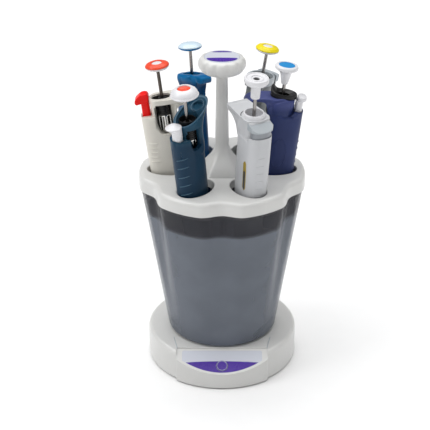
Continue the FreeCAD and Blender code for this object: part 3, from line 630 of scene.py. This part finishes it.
def scallops(angle, radius):
    """Broad shallow flutes that run out towards the hub and the badge."""
    if radius < FLUTE_START:
        return 1.0
    depth = FLUTE_DEPTH * min(1.0, (radius - FLUTE_START) / FLUTE_RUN)
    return 1.0 - depth * (0.5 - 0.5 * math.cos(FLUTES * angle)) ** 2.2


lathe("knob_grip", knob_line, "shell", "lid", STAND_AXES, ("knob",), 240, 0.0, scallops)


def badge_lens(centre_y, half_width, bulge_up, bulge_down):
    """Lens outline between two arcs of different height."""
    top = [(half_width * math.cos(math.pi * i / 24), centre_y + bulge_up * math.sin(math.pi * i / 24))
           for i in range(25)]
    bottom = [(-half_width * math.cos(math.pi * i / 24), centre_y - bulge_down * math.sin(math.pi * i / 24))
              for i in range(1, 24)]
    return top + bottom


BADGE_TOP = KNOB_TOP + 0.14
for part, centre_y, half, up, down in (("rear", 11.6, 9.0, 2.2, 0.5), ("front", -4.6, 14.2, 1.4, 8.6)):
    slab("badge_lens_" + part, [badge_lens(centre_y, half, up, down)], KNOB_TOP - 0.2, BADGE_TOP,
         "purple", "lid", STAND_AXES)

COVER_HALF = [(47.6, -32.0), (44.7, -46.6), (43.9, -52.2)]      # right edge of the cover, rear to front
COVER_LOW, COVER_TOP = 31.7, 32.9
SEAM_LOW, SEAM_TOP = 31.8, 32.25
SEAM_NEAR, SEAM_FAR = 0.05, 0.75                                # painted shade along the seam beside the cover
slab("chin_cover", [[(-x, y) for x, y in COVER_HALF] + [(x, y) for x, y in reversed(COVER_HALF)]],
     COVER_LOW, COVER_TOP, "shell", "base", STAND_AXES, bevel=0.3)
# grey strips beside the cover: painted shade in the seam between cover and base
for side_name, side in (("left", -1), ("right", 1)):
    seam = [(x + SEAM_NEAR, y) for x, y in COVER_HALF] + [(x + SEAM_FAR, y) for x, y in reversed(COVER_HALF)]
    slab("chin_seam_shade_" + side_name, [[(side * x, y) for x, y in seam[::side]]], SEAM_LOW, SEAM_TOP,
         "wedge_grey", "base", STAND_AXES)

LENS_HALF = 35.6                    # half width of the panel's purple field
LENS_FOOT, LENS_EDGE, LENS_BOW = 2.1, 13.2, 1.3         # its lowest point, its corners, and its upper bow


def panel_lens():
    """Purple field of the panel: slightly bowed upper edge, lower edge on the block's curve."""
    upper = [(x, LENS_EDGE + LENS_BOW * (1.0 - (x / LENS_HALF) ** 2))
             for x in [LENS_HALF * (1.0 - i / 15) for i in range(31)]]
    lower = [(x, LENS_FOOT + (LENS_EDGE - LENS_FOOT) * (x / LENS_HALF) ** 2)
             for x in [LENS_HALF * (i / 15 - 1.0) for i in range(1, 30)]]
    return upper + lower


slab("panel_field", [panel_lens(), circle(5.85, 0.0, BUTTON_UP)], -0.3, 0.13, "purple", "base",
     SLOPE_AXES)
slab("button_ring", [circle(5.1, 0.0, BUTTON_UP), circle(4.8, 0.0, BUTTON_UP)], 0.5, 0.87, "label",
     "start_button", SLOPE_AXES)
NODES["start_button"].data.materials[0] = LOOKS["purple"]

# ---- handles with reshaped heads ------------------------------------------------------
OPENING_A = superellipse(1.2, 9.4, 7.3, 2.2)
BODY_D = (4.3, 15.6, 11.8)          # pipette d's outer outline under the thumb wedge
HEAD = (-0.25, 12.9, 12.4)          # outline of a head, with room for a thumb piece to slide
HEAD_WALL = (12.6, 0.02, 12.0)      # nearly flat inner side of a thumb piece
POCKET_WALL = (12.35, 0.02, 12.0)   # the same side of its pocket
POCKET_TOP = 66.0                   # above the shoulder, in the open
pocket_d = [(u + 0.25 if u > 14 else u, v) for u, v in crescent(POCKET_WALL, BODY_D, 9.8, 2.9)]
reshape("a", "ivory", low_head,
        [slot_cutter(-10.4, 6.6, 40.8, 70.6, 6.0), block_cutter(OPENING_A, 69.4, 90.0)])
reshape("b", "navy", unchanged, [slot_cutter(-2.6, 10.4, 46.5, 67.0, 4.5)])
reshape("c", "blue", saddle, closed=(-3.2, 7.2, 43.4, 62.6))
reshape("d", "pale", raised_shoulder, [block_cutter(pocket_d, 50.0, POCKET_TOP)])
reshape("e", "violet", level_head,
        [block_cutter(superellipse(16.2, 3.85, 5.75, 3.2), 41.5, POCKET_TOP)],
        closed=(-11.9, -5.4, 56.6, 68.0))
reshape("f", "mid_grey", short_hook,
        [block_cutter(crescent(POCKET_WALL, (3.3, 15.7, 11.1), 8.9, 2.5), 46.8, POCKET_TOP)])

# ---- plunger buttons -------------------------------------------------------------------
# part, look, slot and (radius, height above BUTTON_W) profile of every piece of a button
BUTTONS = {
    "a": (("skirt", "white", "white_plastic", [(1.7, 3.0), (1.7, -1.4), (4.0, -1.4), (9.6, -0.7), (11.1, 0.7),
                                               (11.2, 1.7), (5.0, 1.7)]),
          ("ring", "coral", "coral_plastic", [(4.9, 1.75), (11.3, 1.75), (11.35, 2.4), (10.6, 3.5),
                                              (8.4, 4.6), (6.0, 5.2), (5.2, 5.0), (4.9, 4.2)]),
          ("eye", "white", "white_plastic", [(0, 1.8), (4.85, 1.8), (4.85, 4.1), (4.0, 4.6), (0, 4.7)])),
    "b": (("cap", "white", "white_plastic", [(1.7, 2.3), (1.7, -2.2), (5.0, -2.2), (10.6, -1.6), (12.8, -0.3),
                                             (13.2, 0.6), (12.4, 1.4), (12.2, 3.0), (11.0, 4.9), (8.8, 6.6),
                                             (6.6, 7.4), (6.0, 6.8), (5.9, 4.4), (1.8, 4.2)]),
          ("eye", "coral", "coral_plastic", [(0, 4.3), (5.85, 4.5), (5.85, 6.3), (4.0, 5.6), (0, 5.2)])),
    "c": (("under", "blue", "blue_plastic", [(1.7, 1.5), (1.7, -1.2), (4.0, -1.2), (9.6, -0.6), (11.4, 0.8),
                                             (11.3, 1.6)]),
          ("cap", "ice", "white_plastic", [(0, 1.65), (11.3, 1.65), (11.2, 2.6), (8.6, 4.4), (4.6, 5.4),
                                           (0, 5.5)])),
    "d": (("cap", "white", "white_plastic", [(1.7, -0.6), (1.7, -5.0), (4.2, -5.0), (4.5, 5.4), (6.2, 7.6),
                                             (9.8, 9.2), (11.3, 11.4), (11.4, 13.8), (10.7, 15.1),
                                             (9.5, 15.2), (9.1, 14.5), (6.9, 14.3), (6.6, 14.9), (5.0, 14.9),
                                             (4.8, 14.1), (3.0, 14.0), (2.9, 12.6), (0, 12.6)]),
          ("eye", "dark", "dark_plastic", [(0, 12.65), (2.8, 12.65), (2.8, 13.1), (0, 13.1)])),
    "e": (("cap", "white", "white_plastic", [(1.7, 0.4), (1.7, -4.0), (2.9, -4.0), (3.4, -2.2), (4.3, 2.0),
                                             (5.0, 5.6), (6.2, 8.0), (8.8, 9.8), (11.0, 11.2), (11.0, 13.4),
                                             (10.2, 14.5), (8.0, 14.9), (7.6, 14.2), (0, 14.0)]),
          ("eye", "sky", "blue_plastic", [(0, 14.05), (7.5, 14.25), (7.5, 14.7), (6.4, 14.85), (0, 14.75)])),
    "f": (("under", "white", "white_plastic", [(1.7, 1.5), (1.7, -1.4), (4.0, -1.4), (9.6, -0.8), (11.4, 0.6),
                                               (11.3, 1.4)]),
          ("ring", "yellow", "yellow_plastic", [(4.7, 1.45), (11.4, 1.45), (11.4, 2.4), (9.6, 4.2),
                                                (5.6, 5.2), (4.7, 4.6)]),
          ("eye", "white", "white_plastic", [(0, 1.6), (4.65, 1.6), (4.65, 4.4), (4.0, 4.7), (0, 4.8)])),
}
for letter, parts in BUTTONS.items():
    for order, (part, look, slot, corners) in enumerate(parts):
        covered = ("pipette_%s_plunger_button" % letter,) if order == 0 else ()
        lathe("pipette_%s_button_%s" % (letter, part), [(r, BUTTON_W[letter] + h) for r, h in corners], look,
              "pipette_%s_plunger" % letter, axes_of(letter), covered)

# ---- volume drums, window sleeves and bowls --------------------------------------------
PALE_INSIDE = {"d": ("white", "white_plastic")}
DRUM_DROP, DRUM_LENGTH, DRUM_R, GROOVE_R = 8.0, 13.0, 6.9, 6.45
GROOVES, GROOVE_PITCH = 5, 2.0
SHAFT_R = 2.1
CAGE_FOOT, CAGE_R, CAGE_BARS, BAR_R = 42.3, 5.7, 8, 0.7
for letter, top_w in TOP_W.items():
    axes, body, dial = axes_of(letter), "pipette_%s_body" % letter, "pipette_%s_dial" % letter
    look, slot = PALE_INSIDE.get(letter, ("dark", "dark_plastic"))
    top = top_w - DRUM_DROP
    foot = top - DRUM_LENGTH
    grooves = []
    for k in range(GROOVES):
        step = GROOVE_PITCH * k
        grooves += [(DRUM_R, top - 11.5 + step), (DRUM_R, top - 10.3 + step), (GROOVE_R, top - 10.1 + step),
                    (GROOVE_R, top - 9.7 + step)]
    lathe("pipette_%s_drum" % letter,
          [(SHAFT_R, top + 3.4), (SHAFT_R, foot), (6.2, foot), (DRUM_R, top - 12.3)] + grooves
          + [(DRUM_R, top - 1.6), (6.0, top), (4.2, top + 0.6), (3.6, top + 3.4)],
          look, dial, axes, (dial,), 72, 0.12)
    lathe("pipette_%s_spindle" % letter,
          [(SHAFT_R, top - 13.05), (SHAFT_R, 34.0), (3.0, 34.0), (3.0, 40.6), (6.5, 41.2), (6.5, 42.4),
           (3.3, 43.0), (3.3, top - 14.6), (6.5, top - 14.2), (6.5, top - 13.05)],
          "bright_steel", dial, axes, (), 72, 0.12)
    for k in range(CAGE_BARS):
        turn = math.radians(360.0 * (k + 0.5) / CAGE_BARS)
        prism("pipette_%s_cage_bar_%d" % (letter, k + 1),
              circle(BAR_R, CAGE_R * math.cos(turn), CAGE_R * math.sin(turn), 16), CAGE_FOOT, top - 14.1,
              "bright_steel", dial, axes)
    if letter == "a":
        continue                    # its shallow well is a piece of its own
    lathe("pipette_%s_bowl" % letter,
          [(7.35, top - 0.7), (7.52, top - 0.7), (7.86, top + 6.4), (7.6, top + 6.6), (7.4, top + 6.2)],
          look, body, axes, (), 72, 0.05)

SLEEVE_IN, SLEEVE_OUT = 7.12, 7.5           # radii of the dark lining
SLEEVE_FOOT, SLEEVE_DROP = 40.2, 9.3
SLEEVE_OPEN = 62.0                          # degrees left open on each side of the window's middle


def window_sleeve(letter, facing):
    """Dark lining of the dial cavity, open towards the window."""
    axes, bm = axes_of(letter), bmesh.new()
    low, high = SLEEVE_FOOT, TOP_W[letter] - SLEEVE_DROP
    columns = []
    for i in range(49):
        a = math.radians(facing + SLEEVE_OPEN + (360.0 - 2.0 * SLEEVE_OPEN) * i / 48)
        corners = ((SLEEVE_IN, low), (SLEEVE_OUT, low), (SLEEVE_OUT, high), (SLEEVE_IN, high))
        columns.append([bm.verts.new(axes @ Vector((r * math.cos(a), r * math.sin(a), w)))
                        for r, w in corners])
    for first, second in zip(columns, columns[1:]):
        wall(bm, first, second)
    bm.faces.new(columns[0])
    bm.faces.new(reversed(columns[-1]))
    new_piece(bm, "pipette_%s_window_sleeve" % letter, "dark", "pipette_%s_body" % letter)


for letter, facing in WINDOW_SIDE.items():
    window_sleeve(letter, facing)


# ---- grips, rims and marks on the handles ------------------------------------------------
def rib_rows(letter, look, rows, start, end, direction, rise=0.0, half=0.55, height=0.42):
    """Level or slanting finger ribs, one piece each: rows are their heights, start and end (u, v)
    of the line they are dropped from."""
    for k, w in enumerate(rows):
        path = []
        for i in range(17):
            t = i / 16
            point = [a + (b - a) * t for a, b in zip(start, end)] + [w + rise * t]
            path.append((point, direction))
        ribbon("pipette_%s_grip_rib_%d" % (letter, k + 1), letter, path, look,
               lambda t: tapered(t, half), lambda t: tapered(t, height, 0.0))


INWARD_U, INWARD_V = (-1, 0, 0), (0, -1, 0)
rib_rows("a", "ivory", [14, 18.6, 23.2, 27.8, 32.4], (18.6, 30.0), (9.0, 30.0), INWARD_V,
         half=0.7, height=0.62)
# pipette b's ribs are real ridges coloured with a painted highlight
rib_rows("b", "navy_highlight", [2.5, 11.6, 20.7, 30.3, 39.0], (34.0, -1.0), (34.0, 9.6),
         INWARD_U, rise=3.4, half=0.5, height=0.55)
rib_rows("d", "pale", [2, 10, 18, 26, 34, 42], (34.0, -7.0), (34.0, 2.5), INWARD_U)
for letter, look, slot, lowest in (("c", "blue", "blue_plastic", 6), ("f", "mid_grey", "mid_grey_plastic", 6),
                                   ("e", "violet", "violet_plastic", 4)):
    rib_rows(letter, look, [lowest + 7 * k for k in range(5)], (34.0, -5.0), (34.0, 5.0), INWARD_U)


def oval_path(centre_u, centre_w, half_u, half_w, count=72):
    """Oval on the -v cheek."""
    path = []
    for i in range(count):
        a = 2 * math.pi * i / count
        path.append(((centre_u + half_u * math.cos(a), -30.0, centre_w + half_w * math.sin(a)), (0, 1, 0)))
    return path


def upright_path(u, low, length):
    """Line up the -v cheek."""
    return [((u, -30.0, low + length * i / 30), (0, 1, 0)) for i in range(31)]


ribbon("pipette_e_oval_rim", "e", oval_path(3.0, 21.0, 6.4, 15.5), "violet", 0.5, 0.4,
       closed=True)
ribbon("pipette_d_label_edge", "d", upright_path(9.5, 6.0, 31.0), "gold",
       lambda t: tapered(t, 2.4, 0.1, 0.1), 0.16)
ribbon("pipette_d_label_face", "d", upright_path(9.5, 7.2, 20.0), "ink",
       lambda t: tapered(t, 1.9, 0.1, 0.1), 0.3)

EAR_FACING = math.radians(160)
COLLAR_WIDE, COLLAR_THROAT = 0.76, 0.85     # width across v as a share of that along u


def collar_e():
    """Black collar of pipette e: a sloping funnel with a tall ear on the hook side."""
    axes, bm, count = axes_of("e"), bmesh.new(), 96
    columns = []
    for i in range(count):
        a = 2 * math.pi * i / count
        c, n = math.cos(a), math.sin(a)
        ear = max(0.0, math.cos(a - EAR_FACING)) ** 9
        rise = 79.2 + 0.9 * (0.5 - 0.5 * c) + 5.6 * ear
        corners = ((0.6, 5.9, 73.6), (1.0, 9.6, 74.4), (1.0, 12.4, 74.9), (1.0, 12.7, 75.5),
                   (1.0, 12.5 + 0.3 * ear, rise - 1.5), (1.0, 12.0, rise - 0.2), (0.9, 11.2, rise),
                   (0.5, 8.2, 78.2 + 2.4 * ear), (0.3, 5.8, 77.2))
        columns.append([])
        for shift, r, w in corners:
            across = (COLLAR_WIDE if r > 9 else COLLAR_THROAT) * r * n
            columns[-1].append(bm.verts.new(axes @ Vector((shift + r * c, across, w))))
    for i, first in enumerate(columns):
        wall(bm, first, columns[(i + 1) % count])
    new_piece(bm, "pipette_e_collar", "dark", "pipette_e_body", bevel=0.12)


collar_e()

# ---- rims and plates on the heads --------------------------------------------------------
slab("pipette_a_rim", [superellipse(-6.6, 19.2, 12.5, 2.6, 96), OPENING_A], 70.9, 75.5, "ivory",
     "pipette_a_body", axes_of("a"), bevel=0.45)
slab("pipette_a_well", [superellipse(1.2, 9.35, 7.25, 2.2), superellipse(1.2, 8.7, 6.9, 2.2)], 69.5, 73.4,
     "ink", "pipette_a_body", axes_of("a"))
PLATE_D = [(-31.3, -9.6), (-30.4, -10.5), (-8, -11.9), (4.6, -12.3), (7.8, -11.2), (9.8, -8.4), (11.6, -4),
           (12.1, 0), (12.1, 4), (11.0, 8.4), (9.0, 11.4), (5.6, 12.7), (-8, 12.3), (-30.4, 11.3),
           (-31.3, 10.4)]
slab("pipette_d_plate", [PLATE_D, circle(8.1)], 74.4, 76.9, "pale", "pipette_d_body",
     axes_of("d"), bevel=0.35)
lathe("pipette_d_boss", [(8.05, 74.6), (8.05, 79.8), (8.4, 80.3), (9.1, 80.3), (9.8, 79.6), (10.5, 76.9),
                         (10.5, 76.5)], "white", "pipette_d_body", axes_of("d"), bevel=0.1)
slab("pipette_d_mark", [arc_band(11.5, 12.2, 118, 250)], 76.8, 77.02, "dark", "pipette_d_body",
     axes_of("d"))
slab("pipette_f_rim", [superellipse(-3.9, 16.2, 12.4, 2.3, 96), superellipse(-3.9, 14.4, 10.6, 2.3, 96)],
     72.6, 79.4, "wedge_grey", "pipette_f_body", axes_of("f"), bevel=0.4)
slab("pipette_f_dish", [superellipse(-3.9, 14.5, 10.7, 2.3, 96), circle(7.9)], 76.6, 77.4, "mid_grey",
     "pipette_f_body", axes_of("f"))

ABOVE, DOWN = 130.0, (0, 0, -1)     # from well over the heads straight down
# low strips along pipette b's rim and recess edge: painted highlight in the lighter navy
rim_path = [((u, v, ABOVE), DOWN) for u, v in superellipse(-6.3, 17.9, 11.6, 2.3, 96)]
ribbon("pipette_b_rim_highlight", "b", rim_path, "navy_highlight", 0.85, 0.4, closed=True)
recess_path = [((u, v, ABOVE), DOWN) for u, v in circle(6.0, DISH_U, 0.0, 60)]
ribbon("pipette_b_recess_highlight", "b", recess_path, "navy_highlight", 0.45, 0.22, closed=True)
DISH_FLOOR = on_skin("b", (DISH_U, 0.0, ABOVE), DOWN)[0].z


def over_dish(height):
    """Level at a height over the recess's sloping floor."""
    return lambda u, v: DISH_FLOOR + DISH_FALL * (DISH_U - u) + height


# the recess's outer side, where the hook is too thin to hold it
prism("pipette_b_recess_wall", [(DISH_U + u, v) for u, v in arc_band(5.1, 5.75, 100, 260)],
      over_dish(-0.6), over_dish(2.2), "navy", "pipette_b_body", axes_of("b"))


# ---- thumb pieces of the ejectors --------------------------------------------------------
STEM_FOOT = 51.0                    # hidden in the pocket


def thumb_stem(letter, look, u0, u1, half, top):
    """Stem between u0 and u1 that stands for the CAD button and slides in the handle's pocket."""
    column("pipette_%s_thumb_stem" % letter,
           [(STEM_FOOT, u0, u1, half - 0.3), (STEM_FOOT + 0.6, u0, u1, half), (top - 1.0, u0, u1, half),
            (top, u0, u1, half)], look, "pipette_%s_ejector" % letter, axes_of(letter),
           ("pipette_%s_ejector_button" % letter,), power=3.2)


thumb_stem("b", "white", 12.8, 19.4, 4.8, 71.5)
lathe("pipette_b_thumb_cap", [(0, 70.4), (4.4, 70.4), (5.2, 71.6), (6.9, 72.7), (7.5, 73.2), (7.45, 73.9),
                              (5.4, 75.2), (2.4, 76.9), (1.0, 77.4), (0, 77.4)], "white", "pipette_b_ejector",
      axes_of("b") @ Matrix.Translation((19.9, 0, 0)), bevel=0.1)
thumb_stem("e", "white", 12.65, 19.75, 5.45, 73.4)
column("pipette_e_thumb_cap", [(72.9, 13.4, 20.6, 5.7), (73.7, 13.9, 22.2, 6.5), (74.4, 14.0, 22.8, 6.8),
                               (76.6, 14.1, 22.8, 6.7), (77.5, 14.7, 22.1, 6.1), (77.8, 15.6, 21.2, 5.2)],
       "white", "pipette_e_ejector", axes_of("e"), bevel=0.15)
thumb_stem("c", "blue", 12.5, 17.6, 4.6, 69.4)
lathe("pipette_c_thumb_cap", [(0, 68.4), (3.6, 68.4), (4.6, 69.8), (5.3, 72.4), (5.1, 73.5), (3.6, 74.2),
                              (0, 74.4)], "blue", "pipette_c_ejector",
      axes_of("c") @ Matrix.Translation((17.8, 0, 0)), bevel=0.2)
thumb_stem("d", "stem_grey", 12.9, 19.3, 4.8, 66.0)
prism("pipette_d_thumb_apron", crescent(HEAD_WALL, (4.3, 15.4, 11.6), 9.5, 2.9), 56.4, 69.6,
      "stem_grey", "pipette_d_ejector", axes_of("d"), bevel=0.25)
prism("pipette_d_thumb_wedge", crescent(HEAD, (4.6, 16.2, 12.9), 11.2, 2.9), 68.8,
      lambda u, v: 75.2 - 0.66 * max(0.0, u - 12.0), "wedge_grey", "pipette_d_ejector",
      axes_of("d"), bevel=0.6)
thumb_stem("f", "mid_grey", 12.9, 18.0, 4.8, 72.4)
prism("pipette_f_thumb_pad", crescent(HEAD_WALL, (3.3, 15.5, 10.9), 8.6, 2.5), 56.2, 73.5,
      "mid_grey", "pipette_f_ejector", axes_of("f"), bevel=0.3)
prism("pipette_f_thumb_rim", crescent(HEAD, (3.2, 16.4, 12.4), 10.2, 2.9), 72.6,
      lambda u, v: 79.2 - 0.1 * max(0.0, u - 12.0), "wedge_grey", "pipette_f_ejector",
      axes_of("f"), bevel=0.5)

# ---- stage, light and camera ---------------------------------------------------------------
FLOOR = 20.0                        # half its side in metres
floor_mesh = bpy.data.meshes.new("floor")
floor_mesh.from_pydata([(-FLOOR, -FLOOR, 0), (FLOOR, -FLOOR, 0), (FLOOR, FLOOR, 0), (-FLOOR, FLOOR, 0)], [],
                       [(0, 1, 2, 3)])
floor_mesh.materials.append(moulded("floor_pale", (0.93, 0.93, 0.93), 0.6, 200, 0.0, 0.004))
floor = bpy.data.objects.new("floor", floor_mesh)
bpy.context.scene.collection.objects.link(floor)

WORLD_GLOW = 0.22
LIT_POINT = Vector((0, 0, 0.15))
scene = bpy.context.scene
scene.view_settings.view_transform = "Standard"
world = bpy.data.worlds.new("studio")
world.use_nodes = True
backdrop = world.node_tree.nodes["Background"]
backdrop.inputs["Color"].default_value = (1.0, 1.0, 1.0, 1)
backdrop.inputs["Strength"].default_value = WORLD_GLOW
scene.world = world


def softbox(name, place, size, power):
    """Rectangular lamp that looks at the middle of the tub."""
    light = bpy.data.lights.new(name, "AREA")
    light.shape = "RECTANGLE"
    light.size, light.size_y = size
    light.energy = power
    lamp = bpy.data.objects.new(name, light)
    lamp.location = place
    lamp.rotation_euler = (LIT_POINT - Vector(place)).to_track_quat("-Z", "Y").to_euler()
    scene.collection.objects.link(lamp)


softbox("key", (-1.5, -0.5, 1.6), (0.9, 1.3), 11)
softbox("strip", (1.4, -0.7, 0.9), (0.3, 1.4), 2)

SUN_POWER, SUN_SPREAD = 2.9, math.radians(75)           # broad enough for soft shadows
SUN_LEAN = (math.radians(-9), math.radians(-4), 0)
sun = bpy.data.lights.new("overhead", "SUN")
sun.energy, sun.angle = SUN_POWER, SUN_SPREAD
overhead = bpy.data.objects.new("overhead", sun)
overhead.rotation_euler = SUN_LEAN
scene.collection.objects.link(overhead)

CAMERA_AT = (0.0, -1.169, 0.762)
CAMERA_TILT = math.radians(62.47)   # from straight down
FOCAL = 3.134884                    # focal length as a share of the sensor's width
SIDE_SHIFT = -0.0163
camera_data = bpy.data.cameras.new("camera")
camera_data.sensor_width = 36.0
camera_data.lens = FOCAL * camera_data.sensor_width
camera_data.shift_x = SIDE_SHIFT
camera_data.clip_end = 50.0
camera = bpy.data.objects.new("camera", camera_data)
camera.location = CAMERA_AT
camera.rotation_euler = (CAMERA_TILT, 0.0, 0.0)
scene.collection.objects.link(camera)
scene.camera = camera
